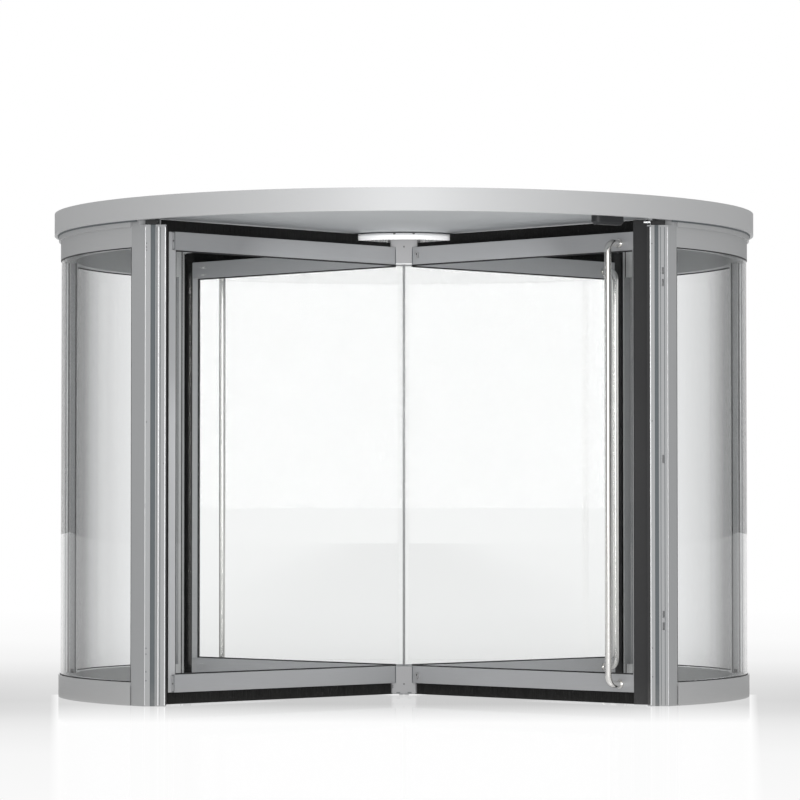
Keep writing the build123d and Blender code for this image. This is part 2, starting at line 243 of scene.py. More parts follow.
metals = {
    "postMetal": {
        "colour": (0.335, 0.34, 0.345), "streak": (0.29, 0.295, 0.30), "stretch": (420, 420, 5), "contrast": 0.7,
        "roughness": 0.45, "bump": 0.12, "metallic": 0.12, "specular": 0.35, "dust": 0.2,
        # The inner colour is painted light, lighter than the outer metal; the seal colour is the black seal
        "inner": {"colour": (0.64, 0.645, 0.65), "radius": 1.5008, "nose": 1.069, "joint": 1.0805,
                  "jointHalf": 0.0022, "seal": (0.012, 0.012, 0.012)}},
    "curvedMetal": {
        "colour": (0.47, 0.475, 0.48), "streak": (0.40, 0.405, 0.41), "stretch": (9, 9, 480),
        "roughness": 0.40, "metallic": 0.3, "dust": 0.3},
    "wingMetal": {
        "colour": (0.375, 0.38, 0.39), "streak": (0.32, 0.325, 0.335), "stretch": (14, 14, 520),
        "roughness": 0.42, "bump": 0.12, "metallic": 0.35, "dust": 0.2},
    "stileMetal": {
        "colour": (0.52, 0.525, 0.535), "streak": (0.455, 0.46, 0.47), "stretch": (520, 520, 6),
        "roughness": 0.42, "bump": 0.12, "metallic": 0.35, "dust": 0.2},
    "canopySilver": {
        "colour": (0.575, 0.58, 0.585), "streak": (0.52, 0.525, 0.53), "stretch": (900, 900, 900),
        "contrast": 0.6, "roughness": 0.52, "spread": 0.08, "metallic": 0.5},
    "ceilingSilver": {
        "colour": (0.49, 0.505, 0.52), "streak": (0.41, 0.425, 0.44), "stretch": (40, 700, 40),
        "contrast": 0.9, "roughness": 0.45, "spread": 0.12, "bump": 0.15, "metallic": 0.5},
    "roofSheet": {
        "colour": (0.52, 0.53, 0.54), "streak": (0.40, 0.41, 0.42), "stretch": (16, 16, 16),
        "roughness": 0.5, "spread": 0.15, "bump": 0.15, "metallic": 0.6},
    "primerGrey": {
        "colour": (0.30, 0.31, 0.32), "streak": (0.24, 0.25, 0.26), "stretch": (60, 60, 60),
        "contrast": 0.7, "roughness": 0.65, "spread": 0.15, "bump": 0.2},
    "machinedSteel": {
        "colour": (0.50, 0.50, 0.51), "streak": (0.40, 0.40, 0.41), "stretch": (60, 60, 900),
        "roughness": 0.32, "spread": 0.12, "bump": 0.12, "metallic": 0.9},
    "handleSteel": {
        "colour": (0.80, 0.79, 0.77), "streak": (0.68, 0.67, 0.65), "stretch": (300, 300, 8),
        "contrast": 0.6, "roughness": 0.16, "spread": 0.05, "bump": 0.01, "metallic": 1.0},
    "lockSteel": {
        "colour": (0.52, 0.52, 0.52), "streak": (0.42, 0.42, 0.42), "stretch": (700, 700, 700),
        "contrast": 0.7, "roughness": 0.3, "bump": 0.08, "metallic": 0.9},
    "screwSteel": {
        "colour": (0.16, 0.16, 0.165), "streak": (0.10, 0.10, 0.105), "stretch": (900, 900, 900),
        "roughness": 0.35, "metallic": 0.7},
    "hubMetal": {
        "colour": (0.30, 0.30, 0.305), "streak": (0.26, 0.26, 0.265), "stretch": (260, 260, 260),
        "roughness": 0.45, "bump": 0.15, "metallic": 0.2},
    "discWhite": {
        "colour": (0.96, 0.96, 0.96), "streak": (0.92, 0.92, 0.92), "stretch": (220, 220, 220),
        "contrast": 0.6, "roughness": 0.35, "bump": 0.05},
    "trimBright": {
        "colour": (0.56, 0.565, 0.57), "streak": (0.50, 0.505, 0.51), "stretch": (600, 600, 8),
        "contrast": 0.6, "roughness": 0.28, "spread": 0.08, "bump": 0.06, "metallic": 0.5},
    "gasketRubber": {
        "colour": (0.105, 0.120, 0.128), "streak": (0.075, 0.085, 0.092), "stretch": (300, 300, 40),
        "roughness": 0.62, "spread": 0.15, "bump": 0.25, "dust": 0.3},
    "sealBlack": {
        "colour": (0.016, 0.016, 0.017), "streak": (0.010, 0.010, 0.011), "stretch": (300, 300, 300),
        "roughness": 0.6, "spread": 0.15, "bump": 0.2, "dust": 0.15},
    "edgeRubber": {
        "colour": (0.034, 0.034, 0.035), "streak": (0.026, 0.026, 0.027), "stretch": (260, 260, 60),
        "roughness": 0.6, "spread": 0.12, "bump": 0.2, "specular": 0.3, "dust": 0.05},
    "brushPile": {
        "colour": (0.012, 0.012, 0.012), "streak": (0.005, 0.005, 0.005), "stretch": (900, 900, 30),
        "contrast": 1.0, "roughness": 0.8, "spread": 0.15, "bump": 0.9, "specular": 0.15, "dust": 0.03},
    "bristleBlack": {
        "colour": (0.014, 0.014, 0.014), "streak": (0.006, 0.006, 0.006), "stretch": (500, 500, 60),
        "contrast": 0.9, "roughness": 0.55, "spread": 0.2, "bump": 0.3, "specular": 0.3},
    "sensorPlastic": {
        "colour": (0.017, 0.018, 0.020), "streak": (0.011, 0.012, 0.014), "stretch": (800, 800, 800),
        "contrast": 0.7, "roughness": 0.42, "bump": 0.15},
    "sealGrey": {
        "colour": (0.24, 0.24, 0.245), "streak": (0.20, 0.20, 0.205), "stretch": (500, 500, 20),
        "contrast": 0.6, "roughness": 0.5},
}
glasses = {
    "wingGlass": {
        "colour": (0.962, 0.967, 0.965), "streak": (0.948, 0.954, 0.952), "stretch": (1.2, 1.2, 0.8),
        "ior": 1.45, "shadow": (0.96, 0.965, 0.96)},
    "bentGlass": {
        "colour": (0.945, 0.95, 0.952), "streak": (0.925, 0.932, 0.935), "stretch": (1.0, 1.0, 0.6),
        "ior": 1.12, "shadow": (0.93, 0.94, 0.94),
        # Painted shade by how slanting the view is, darkest over a band of angles
        "slantShade": ((0.30, 0.97), (0.42, 0.90), (0.53, 0.78), (0.60, 0.62), (0.66, 0.42), (0.76, 0.42),
                  (0.83, 0.80), (1.0, 0.95))},
}
finishes = {name: metalFinish(name, look) for name, look in metals.items()}
finishes.update({name: glassFinish(name, look) for name, look in glasses.items()})
print("finishes made:", len(finishes))

nodeFinish = {
    "canopy_fascia": "canopySilver", "roof_cover": "roofSheet", "ceiling_panel": "ceilingSilver",
    "canopy_beams": "primerGrey", "shaft_bearing": "machinedSteel", "floor_bearing": "machinedSteel",
    "motion_sensors": "sensorPlastic", "post_gaskets": "gasketRubber", "hub_disc": "discWhite",
    "top_hub_clamp": "hubMetal", "bottom_hub_clamp": "hubMetal", "centre_seal": "sealGrey",
    "lock_cylinders": "lockSteel",
}
endings = {"_top_rail": "curvedMetal", "_skirt": "curvedMetal", "_curved_glass": "bentGlass",
           "_mullion": "postMetal", "_post": "postMetal", "_rails": "wingMetal", "_stile": "stileMetal",
           "_glass": "wingGlass", "_brushes": "brushPile", "_edge_strip": "edgeRubber", "_handle": "handleSteel"}
for name, piece in nodes.items():
    finish = nodeFinish.get(name)
    if finish is None:
        finish = next(value for ending, value in endings.items() if name.endswith(ending))
    piece.data.materials.clear()
    piece.data.materials.append(finishes[finish])


# Mesh helpers
def spun(degrees):
    return Matrix.Rotation(math.radians(degrees), 4, "Z")


wingTurns = {name: spun(azimuth) for name, azimuth in wingAzimuths.items()}
halfTurns = [spun(0), spun(180)]
quarterTurns = [spun(90 * quarter) for quarter in range(4)]


def axes(first, second, run):
    # Lays an outline's two axes and its run along these directions
    return Matrix((first, second, run)).transposed().to_4x4()


frontward = axes((1, 0, 0), (0, -1, 0), (0, 0, 1))  # an upright run whose outline stands out to the front


def joinRings(bm, rings):
    # Skins rings of equal count and closes both ends
    count = len(rings[0])
    for first, second in zip(rings, rings[1:]):
        for i in range(count):
            bm.faces.new((first[i], first[(i + 1) % count], second[(i + 1) % count], second[i]))
    bm.faces.new(rings[0])
    bm.faces.new(rings[-1])


def addRing(bm, sides, across, up, z, place=Matrix()):
    angles = [2 * math.pi * i / sides for i in range(sides)]
    return [bm.verts.new(place @ Vector((across * math.cos(a), up * math.sin(a), z))) for a in angles]


def addRun(bm, outline, stations):
    # Carries a closed outline through the stations
    joinRings(bm, [[bm.verts.new(place @ Vector((a, b, 0))) for a, b in outline] for place in stations])


def addStraight(bm, outline, turn, spots, basis=Matrix()):
    addRun(bm, outline, [turn @ Matrix.Translation(spot) @ basis for spot in spots])


def addUpright(bm, outline, turn, heights, y=0, basis=Matrix()):
    addStraight(bm, outline, turn, [(0, y, z) for z in heights], basis)


def addBend(bm, outline, radius, z, start, end, steps):
    # Run round the axis: the outline's first axis is radial, its second is up
    stations, up = [], Vector((0, 0, 1))
    for i in range(steps + 1):
        angle = math.radians(start + (end - start) * i / steps)
        out = Vector((math.cos(angle), math.sin(angle), 0))
        spot = (radius * math.cos(angle), radius * math.sin(angle), z)
        stations.append(Matrix.Translation(spot) @ axes(out, up, out.cross(up)))
    addRun(bm, outline, stations)


def lipOutline(width, height, lean=0.3, shoulder=(0.32, 0.93)):
    # Rounded bead or seal lip, flat at its back
    side, crown = width * shoulder[0], height * shoulder[1]
    return [(-width / 2, 0), (width / 2, 0), (width / 2, height * (1 - lean)), (side, crown),
            (0, height), (-side, crown), (-width / 2, height * (1 - lean))]


def wedgeOutline(width, height, bow=0.6):
    # Glazing seal in a corner, bowed outwards; a minus sign turns it the other way
    return [(0, 0), (width, 0), (width * bow, height * bow), (0, height)]


def boxOutline(left, right, low, high):
    return [(left, low), (right, low), (right, high), (left, high)]


def finishPiece(name, bm, finish, body):
    bmesh.ops.remove_doubles(bm, verts=bm.verts, dist=1e-6)
    bmesh.ops.recalc_face_normals(bm, faces=bm.faces)
    mesh = bpy.data.meshes.new(name)
    bm.to_mesh(mesh)
    bm.free()
    mesh.materials.append(finishes[finish])
    return placePiece(name, mesh, body)


def placePiece(name, mesh, body):
    piece = bpy.data.objects.new(name, mesh)
    scene.collection.objects.link(piece)
    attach(piece, body)
    return piece


# Seals round the wings' panes
wingSeal = {"width": 0.006, "proud": 0.005, "glassHalf": 0.004, "hubReach": 0.058}


def buildWingSeals():
    bm = bmesh.new()
    outline = wedgeOutline(wingSeal["width"], wingSeal["proud"])
    low, high = door["bottomRail"][1], door["topRail"][0]
    inner, outer = wingSeal["hubReach"], door["stileInner"]
    for turn in wingTurns.values():
        for side in (-1, 1):
            face = side * wingSeal["glassHalf"]
            for z, up in ((low, 1), (high, -1)):
                addStraight(bm, outline, turn, [(x, face, z) for x in (inner, outer)],
                            axes((0, 0, up), (0, side, 0), (1, 0, 0)))
            addStraight(bm, outline, turn, [(outer, face, z) for z in (low, high)],
                        axes((-1, 0, 0), (0, side, 0), (0, 0, 1)))
    finishPiece("wing_glazing_seals", bm, "sealBlack", "rotor")


buildWingSeals()

# Bright cap on each rail's end, with a dark joint behind it; the spans are measured from the rail's end
railCap = {"gap": 0.0005, "inset": 0.0025, "margin": 0.004, "chamfer": 0.002, "brightSpan": (0.0008, 0.0022),
           "darkSpan": (-0.0004, 0.0010), "darkGrow": 0.0012}


def buildRailCaps():
    bright, dark = bmesh.new(), bmesh.new()
    inner, outer = door["stileHalf"] + railCap["gap"], door["wingHalf"] - railCap["inset"]
    margin, cut = railCap["margin"], railCap["chamfer"]
    for turn in wingTurns.values():
        for low, high in (door["bottomRail"], door["topRail"]):
            for bm, grow, span in ((dark, railCap["darkGrow"], railCap["darkSpan"]),
                                   (bright, 0, railCap["brightSpan"])):
                bottom, top, edge = low + margin - grow, high - margin + grow, outer + grow
                outline = [(inner, bottom), (edge - cut, bottom), (edge, bottom + cut),
                           (edge, top - cut), (edge - cut, top), (inner, top)]
                addStraight(bm, outline, turn, [(door["railEnd"] + x, 0, 0) for x in span],
                            axes((0, 1, 0), (0, 0, 1), (1, 0, 0)))
    finishPiece("rail_end_caps", bright, "trimBright", "rotor")
    finishPiece("rail_end_joints", dark, "gasketRubber", "rotor")


buildRailCaps()
print("wing seals and seams made")


# Node trees that set one shape on many points
def setOnPoints(tree, given, result, points, shape, aim, scale):
    # Turns the shape to the aim at every point, makes it real and gives it its finish
    align = tree.nodes.new("FunctionNodeAlignRotationToVector")
    align.axis = "Z"
    feed(tree, align, {"Vector": aim})
    placed = addNode(tree, "GeometryNodeInstanceOnPoints", {
        "Points": points, "Instance": shape, "Rotation": align.outputs["Rotation"], "Scale": scale})
    real = addNode(tree, "GeometryNodeRealizeInstances", {"Geometry": placed.outputs["Instances"]})
    paint = addNode(tree, "GeometryNodeSetMaterial", {"Geometry": real.outputs["Geometry"],
                                                      "Material": given["Finish"]})
    feed(tree, result, {"Geometry": paint.outputs["Geometry"]})


def outwardOf(tree):
    outward = tree.nodes.new("GeometryNodeInputNamedAttribute")
    outward.data_type = "FLOAT_VECTOR"
    return feed(tree, outward, {"Name": "outward"}).outputs["Attribute"]


def guideMesh(name, spots, aims, edges=()):
    # Points for a tree, each with the direction that its shape looks in
    mesh = bpy.data.meshes.new(name)
    mesh.from_pydata(spots, edges, [])
    attribute = mesh.attributes.new("outward", "FLOAT_VECTOR", "POINT")
    for item, aim in zip(attribute.data, aims):
        item.vector = aim
    return mesh


def socketNamed(group, label):
    return next(item.identifier for item in group.interface.items_tree
                if item.item_type == "SOCKET" and item.in_out == "INPUT" and item.name == label)


def treeResult(name, mesh, tree, values, body):
    # Runs a node tree on a guide mesh and keeps the result as a plain mesh
    guide = bpy.data.objects.new(name + "_guide", mesh)
    scene.collection.objects.link(guide)
    modifier = guide.modifiers.new("tree", "NODES")
    modifier.node_group = tree
    for label, value in values.items():
        modifier[socketNamed(tree, label)] = value
    bpy.context.view_layer.update()
    shape = bpy.data.meshes.new_from_object(guide.evaluated_get(bpy.context.evaluated_depsgraph_get()))
    guide.modifiers.remove(modifier)
    bpy.data.objects.remove(guide)
    return placePiece(name, shape, body)


# Bristles along each brush; a run is start and end as (along the wing, up), direction and bristle length
brushRows = {
    "spacing": 0.0042, "thickness": 0.0008, "lean": 0.05, "faces": (-0.0062, 0.0062), "seed": 11, "tip": 0.25,
    "runs": {"foot": ((0.09, 0.056), (1.492, 0.056), (0, 0, -1), 0.050),
             "head": ((0.302, 2.045), (1.492, 2.045), (0, 0, 1), 0.049),
             "inner": ((0.098, 2.045), (0.283, 2.045), (0, 0, 1), 0.036),
             "side": ((1.446, 0.06), (1.446, 2.04), (1, 0, 0), 0.0475)},
}


def buildBristleTree():
    tree, given, result = newGroup("bristleRows", "GeometryNodeTree", [
        ("Geometry", "Geometry", None), ("Spacing", "Float", 0.004), ("Length", "Float", 0.045),
        ("Thickness", "Float", 0.0009), ("Lean", "Float", 0.06), ("Seed", "Int", 3), ("Finish", "Material", None)],
        [("Geometry", "Geometry")])
    curve = addNode(tree, "GeometryNodeMeshToCurve", {"Mesh": given["Geometry"]})
    points = tree.nodes.new("GeometryNodeCurveToPoints")
    points.mode = "LENGTH"
    feed(tree, points, {"Curve": curve.outputs["Curve"], "Length": given["Spacing"]})
    hair = addNode(tree, "GeometryNodeMeshCone", {"Vertices": 3, "Radius Top": brushRows["tip"],
                                                  "Radius Bottom": 1.0, "Depth": 1.0})
    jitter = tree.nodes.new("FunctionNodeRandomValue")
    jitter.data_type = "FLOAT_VECTOR"
    feed(tree, jitter, {"Min": (-1, -1, -1), "Max": (1, 1, 1), "Seed": given["Seed"]})
    lean = vectorNode(tree, "SCALE", {0: jitter.outputs[0], "Scale": given["Lean"]})["Vector"]
    aim = vectorNode(tree, "ADD", {0: outwardOf(tree), 1: lean})["Vector"]
    size = addNode(tree, "ShaderNodeCombineXYZ", {"X": given["Thickness"], "Y": given["Thickness"],
                                                  "Z": given["Length"]})
    setOnPoints(tree, given, result, points.outputs["Points"], hair.outputs["Mesh"], aim, size.outputs["Vector"])
    return tree


def buildBristles():
    tree = buildBristleTree()
    for index, (name, turn) in enumerate(wingTurns.items()):
        for part, (start, end, outward, length) in brushRows["runs"].items():
            faces = brushRows["faces"][1:] if part == "side" else brushRows["faces"]  # the side has one row
            spots = [turn @ Vector((x, y, z)) for y in faces for x, z in (start, end)]
            aims = [turn.to_3x3() @ Vector(outward)] * len(spots)
            edges = [(i, i + 1) for i in range(0, len(spots), 2)]
            treeResult(f"{name}_{part}_bristles", guideMesh(f"{name}_{part}_rows", spots, aims, edges), tree,
                       {"Spacing": brushRows["spacing"], "Length": length, "Thickness": brushRows["thickness"],
                        "Lean": brushRows["lean"], "Seed": brushRows["seed"] + index,
                        "Finish": finishes["bristleBlack"]}, "rotor")


buildBristles()
print("bristles made")

# Hub covers in the corners between the wings: an upright stem with a wider bar at each end
hub = {"front": 0.0745, "stemHalf": 0.0375, "stemEdge": 0.0015, "stemBack": (0.004, 0.0385),
       "stemHeights": ((0.056, 0.132), (1.967, 2.035)), "bevel": 0.006, "barBack": 0.0590,
       "bars": ((0.059, (0.0085, 0.056)), (0.065, (2.035, 2.082))),
       "bevelHighlight": ((-0.0008, 0.0), (0.0016, 0.0), (0.0016, 0.0032), (0.0, 0.0036), (-0.0008, 0.0036))}


def buildHubCovers():
    bm, bright = bmesh.new(), bmesh.new()
    front, half, edge, bevel = hub["front"], hub["stemHalf"], hub["stemEdge"], hub["bevel"]
    backHalf, back = hub["stemBack"]
    stem = [(-half, edge - front), (edge - half, -front), (half - edge, -front), (half, edge - front),
            (backHalf, -back), (-backHalf, -back)]
    for turn in quarterTurns:
        for heights in hub["stemHeights"]:
            addUpright(bm, stem, turn, heights)
        for reach, heights in hub["bars"]:
            bar = [(-reach, bevel - front), (bevel - reach, -front), (reach - bevel, -front),
                   (reach, bevel - front), (reach, -hub["barBack"]), (-reach, -hub["barBack"])]
            addUpright(bm, bar, turn, heights)
        # Bright bevel strip along the lower edge of the upper stem, a painted highlight for the light the bevel
        # catches
        low = hub["stemHeights"][1][0]
        addStraight(bright, hub["bevelHighlight"], turn, [(x, -front, low) for x in (-half, half)],
                    axes((0, -1, 0), (0, 0, 1), (1, 0, 0)))
    finishPiece("hub_corner_covers", bm, "hubMetal", "rotor")
    finishPiece("hub_cover_bevels", bright, "trimBright", "rotor")


buildHubCovers()

# The disc over the wings, with a recess and a lip on its underside; the profile ends at the shaft
disc = {"steps": 96, "profile": (
    (0.0, 2.0835), (0.2850, 2.0835), (0.2880, 2.0805), (0.2880, 2.0665), (0.2893, 2.0655), (0.2937, 2.0655),
    (0.2950, 2.0668), (0.2950, 2.0842), (0.2930, 2.0880), (0.2860, 2.0950), (0.0250, 2.0950))}


def buildDishedDisc():
    top = max(corner[2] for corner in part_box("hub_disc"))
    shaft = disc["profile"][-1][0]
    profile = [*disc["profile"], (shaft, top), (0.0, top)]
    bm = bmesh.new()
    rings = []
    for i in range(disc["steps"]):
        angle = 2 * math.pi * i / disc["steps"]
        rings.append([bm.verts.new((r * math.cos(angle), r * math.sin(angle), z)) for r, z in profile])
    for first, second in zip(rings, rings[1:] + rings[:1]):
        for j in range(len(profile) - 1):
            bm.faces.new([first[j], first[j + 1], second[j + 1], second[j]])
    piece = finishPiece("hub_disc_dish", bm, "discWhite", "rotor")
    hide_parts("hub_disc")


buildDishedDisc()

# Oval clips on the disc's upper rim; a ring is its share of the size and its height
clip = {"aside": 0.0434, "out": 0.2868, "height": 2.0912, "tilt": 48, "halfSizes": (0.0055, 0.0030), "sides": 16,
        "rings": ((1.0, -0.0006), (1.0, 0.0008), (0.8, 0.0014))}


def buildDiscClips():
    bm = bmesh.new()
    across, up = clip["halfSizes"]
    tilt = Matrix.Rotation(math.radians(clip["tilt"]), 4, "X")
    for turn in quarterTurns:
        for x in (-clip["aside"], clip["aside"]):
            place = turn @ Matrix.Translation((x, -clip["out"], clip["height"])) @ tilt
            joinRings(bm, [addRing(bm, clip["sides"], across * share, up * share, z, place)
                           for share, z in clip["rings"]])
    finishPiece("disc_clips", bm, "sealBlack", "rotor")


buildDiscClips()
print("hub dressed")

# Painted shade: dark strips on the rails where the covers meet them, for the shadow gap there; dark slits at the
# covers' feet, for the shaded slots; and a dark strip on each lower stem, for the shadow line round the cover
hubShade = {"along": (0.0784, 0.0824), "sunk": 0.0006, "proud": 0.0007,
            "slit": (0.0168, 0.0344), "slitHalf": 0.0005, "slitHeights": (0.0095, 0.0150),
            "stripBack": (0.0020, 0.006), "stripTaper": 0.008, "stripHeights": (0.1315, 0.1350)}


def buildHubShades():
    bm = bmesh.new()
    front, half, taper, depth = hub["front"], hub["stemHalf"], hubShade["stripTaper"], hubShade["slitHalf"]
    for turn in wingTurns.values():
        for side in (-1, 1):
            face = side * door["wingHalf"]
            low, high = face - side * hubShade["sunk"], face + side * hubShade["proud"]
            outline = boxOutline(*hubShade["along"], low, high)
            for heights in (door["bottomRail"], door["topRail"]):
                addUpright(bm, outline, turn, heights)
    for turn in quarterTurns:
        for side in (-1, 1):
            near, far = (side * reach for reach in hubShade["slit"])
            addUpright(bm, boxOutline(near, far, depth - front, -depth - front), turn, hubShade["slitHeights"])
        first, last = (back - front for back in hubShade["stripBack"])
        addUpright(bm, [(-half, first), (half, first), (half - taper, last), (taper - half, last)],
                   turn, hubShade["stripHeights"])
    finishPiece("hub_cover_joints", bm, "gasketRubber", "rotor")


buildHubShades()

# Screw heads with a recess; the rim, crown and floor are shares of the head's or the recess's size
screw = {"radius": 0.0045, "height": 0.0016, "recess": 0.0024, "sides": 18, "rim": 0.45, "crown": 0.82,
         "floor": (0.9, 0.25)}


def screwMesh():
    bm = bmesh.new()
    radius, height, recess = screw["radius"], screw["height"], screw["recess"]
    rings = ((radius, 0.0), (radius, height * screw["rim"]), (radius * screw["crown"], height), (recess, height),
             (recess * screw["floor"][0], height * screw["floor"][1]))
    joinRings(bm, [addRing(bm, screw["sides"], size, size, z) for size, z in rings])
    bmesh.ops.recalc_face_normals(bm, faces=bm.faces)
    mesh = bpy.data.meshes.new("screwHead")
    bm.to_mesh(mesh)
    bm.free()
    return mesh


def buildScrewTree():
    tree, given, result = newGroup("screwHeads", "GeometryNodeTree", [
        ("Geometry", "Geometry", None), ("Size", "Float", 1.0), ("Head", "Object", None),
        ("Finish", "Material", None)], [("Geometry", "Geometry")])
    head = addNode(tree, "GeometryNodeObjectInfo", {"Object": given["Head"]})
    setOnPoints(tree, given, result, given["Geometry"], head.outputs["Geometry"], outwardOf(tree), given["Size"])
    return tree


# A row on the posts is post, inset from its corner and heights; a spot on the hub is (aside, up)
postScrews = {"size": 0.62, "rows": (
    ("left", 0.0072, (1.990, 1.973, 1.960, 1.220, 0.249, 0.224, 0.148, 0.110)), ("left", 0.082, (1.043,)),
    ("right", 0.070, (1.990, 1.225, 0.249, 0.126)))}
rotorScrews = {"size": 0.9, "hub": ((0, 2.0475), (0, 0.0515), (-0.0516, 0.0355), (-0.0516, 0.0430)),
               "capAside": 0.0165, "capHeights": (0.0935, 2.006)}


def postSpot(side, inset, z):
    corner, face, inward = posts[side]
    return corner + inward * inset, -face, z


def buildScrews():
    head = bpy.data.objects.new("screwHead", screwMesh())
    scene.collection.objects.link(head)
    tree = buildScrewTree()
    front = Vector((0, -1, 0))
    onPosts = [(turn @ Vector(postSpot(side, inset, z)), turn.to_3x3() @ front)
               for turn in halfTurns for side, inset, heights in postScrews["rows"] for z in heights]
    onRotor = [(turn @ Vector((x, -hub["front"], z)), turn.to_3x3() @ front)
               for turn in quarterTurns for x, z in rotorScrews["hub"]]
    end = door["railEnd"] + railCap["brightSpan"][1]
    onRotor += [(turn @ Vector((end, rotorScrews["capAside"], z)), turn.to_3x3() @ Vector((1, 0, 0)))
                for turn in wingTurns.values() for z in rotorScrews["capHeights"]]
    for group, found, size, body, slot in (("post", onPosts, postScrews["size"], "drum", "bearing_steel"),
                                           ("rotor", onRotor, rotorScrews["size"], "rotor", "lock_steel")):
        mesh = guideMesh(group + "_spots", [spot for spot, aim in found], [aim for spot, aim in found])
        treeResult(group + "_screws", mesh, tree,
                   {"Size": size, "Head": head, "Finish": finishes["screwSteel"]}, body)
    bpy.data.objects.remove(head)


buildScrews()
print("screws made")

# Seals round the bent panes; the gap runs from a wall's middle, at its mullion, to the seal
bentSeal = {"innerWidth": 0.005, "outerWidth": 0.003, "endOuterWidth": 0.0025, "proud": 0.004, "gap": 0.007,
            "steps": 72}


def buildBentSeals():
    bm = bmesh.new()
    proud, bottom, top = bentSeal["proud"], door["skirtTop"], door["railBase"]
    reach = 90 - door["wallEnd"]
    gap, lip = (math.degrees(length / door["glassOuter"]) for length in (bentSeal["gap"], proud))
    inner, outer = (door["glassInner"], -bentSeal["innerWidth"]), (door["glassOuter"], bentSeal["outerWidth"])
    for middle in (0, 180):
        for first, last in ((gap, reach), (-reach, -gap)):
            for z, up in ((bottom, 1), (top, -1)):
                for radius, width in (inner, outer):
                    addBend(bm, wedgeOutline(width, up * proud), radius, z, middle + first, middle + last,
                            bentSeal["steps"])
        for side in (-1, 1):
            for angle, inward in ((gap, 1), (reach, -1)):
                first, last = sorted((side * angle, side * (angle + inward * lip)))
                for radius, width in (inner, (door["glassOuter"], bentSeal["endOuterWidth"])):
                    addBend(bm, boxOutline(0, width, 0, top - bottom), radius, bottom, middle + first,
                            middle + last, 1)
    finishPiece("bent_glazing_seals", bm, "sealBlack", "drum")


buildBentSeals()

# Painted shadow: a dark ring between the rails and the canopy's lip, standing in for the shadow line under the
# fascia
canopyShadowLine = {"inner": 1.5770, "outer": 1.5835, "depth": 0.0065, "slope": 0.7, "reach": 43.0, "steps": 96}


def buildCanopyShadowLine():
    bm = bmesh.new()
    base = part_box("canopy_fascia")[0][2]
    width, depth, reach = canopyShadowLine["outer"] - canopyShadowLine["inner"], canopyShadowLine["depth"], canopyShadowLine["reach"]
    outline = [(0, 0), (width, 0), (width, -depth * canopyShadowLine["slope"]), (0, -depth)]
    for middle in (0, 180):
        addBend(bm, outline, canopyShadowLine["inner"], base, middle - reach, middle + reach, canopyShadowLine["steps"])
    finishPiece("canopy_seals", bm, "gasketRubber", "drum")


buildCanopyShadowLine()

# Lines on the posts' flat faces: post, inset from its corner, width, and how far the line stands out
postTrim = {
    "heights": (0.004, 2.061),
    "beads": (("left", 0.0585, 0.006, 0.0025), ("left", 0.0865, 0.006, 0.0024), ("left", 0.0015, 0.003, 0.0012),
              ("right", 0.0755, 0.006, 0.0024), ("right", 0.0015, 0.003, 0.0012)),
    "joints": (("left", 0.0505, 0.0022, 0.0008), ("left", 0.0665, 0.0022, 0.0008),
               ("right", 0.0325, 0.0022, 0.0008), ("right", 0.0155, 0.0022, 0.0008)),
}


def buildPostTrims():
    bright, dark = bmesh.new(), bmesh.new()
    for turn in halfTurns:
        for bm, lines in ((bright, postTrim["beads"]), (dark, postTrim["joints"])):
            for side, inset, width, proud in lines:
                spots = [postSpot(side, inset, z) for z in postTrim["heights"]]
                addStraight(bm, lipOutline(width, proud), turn, spots, frontward)
    finishPiece("post_beads", bright, "trimBright", "drum")
    finishPiece("post_joints", dark, "gasketRubber", "drum")


buildPostTrims()

# Black seals at the posts' noses and over their tops, from x to x, and the bracket beside the right top
postSeal = {
    "noses": {"left": (-1.0250, -1.0196), "right": (1.0456, 1.0583)}, "noseHeights": (0.006, 2.064),
    "sunk": 0.0010, "edge": 0.0006, "crown": 0.0012,
    "tops": {"left": (-1.1140, -1.0594), "right": (1.0625, 1.1250)}, "topHeights": (2.0715, 2.0900),
    "depth": 0.018, "chamfer": 0.002,
    "bracket": ((1.0600, -1.0800), (1.0460, -1.0800), (1.0345, -1.0920), (1.0310, -1.1000), (1.0600, -1.1000)),
    "bracketHeights": (2.0772, 2.0838),
}


def buildPostSeals():
    bm, bright = bmesh.new(), bmesh.new()
    sunk, edge, depth, cut = postSeal["sunk"], postSeal["edge"], postSeal["depth"], postSeal["chamfer"]
    for turn in halfTurns:
        for side, (low, high) in postSeal["noses"].items():
            middle = (low + high) / 2
            outline = [(low, -sunk), (high, -sunk), (high, edge), (middle, postSeal["crown"]), (low, edge)]
            addUpright(bm, outline, turn, postSeal["noseHeights"], -posts[side][1], frontward)
        for side, (low, high) in postSeal["tops"].items():
            outline = [(low, -depth), (high, -depth), (high, -cut), (high - cut, 0.0),
                       (low + cut, 0.0), (low, -cut)]
            addUpright(bm, outline, turn, postSeal["topHeights"], -posts[side][1], frontward)
        addUpright(bright, postSeal["bracket"], turn, postSeal["bracketHeights"])
    finishPiece("post_seals", bm, "sealBlack", "drum")
    finishPiece("post_top_brackets", bright, "trimBright", "drum")


buildPostSeals()

# Dark and light lines on the mullions' side faces as (distance from the axis, width), and the black pads at their
# feet
mullionTrim = {"face": 0.0248, "proud": 0.0016, "heights": (0.102, 1.975),
               "dark": ((1.5045, 0.0050), (1.5385, 0.0075), (1.5525, 0.0030)),
               "bright": ((1.5465, 0.0075), (1.5320, 0.0020)),
               "pad": ((1.512, 0.0), (1.526, 0.0), (1.526, 0.006), (1.522, 0.009), (1.516, 0.009), (1.512, 0.006)),
               "padFace": 0.0245, "padHeights": (0.1005, 0.118)}


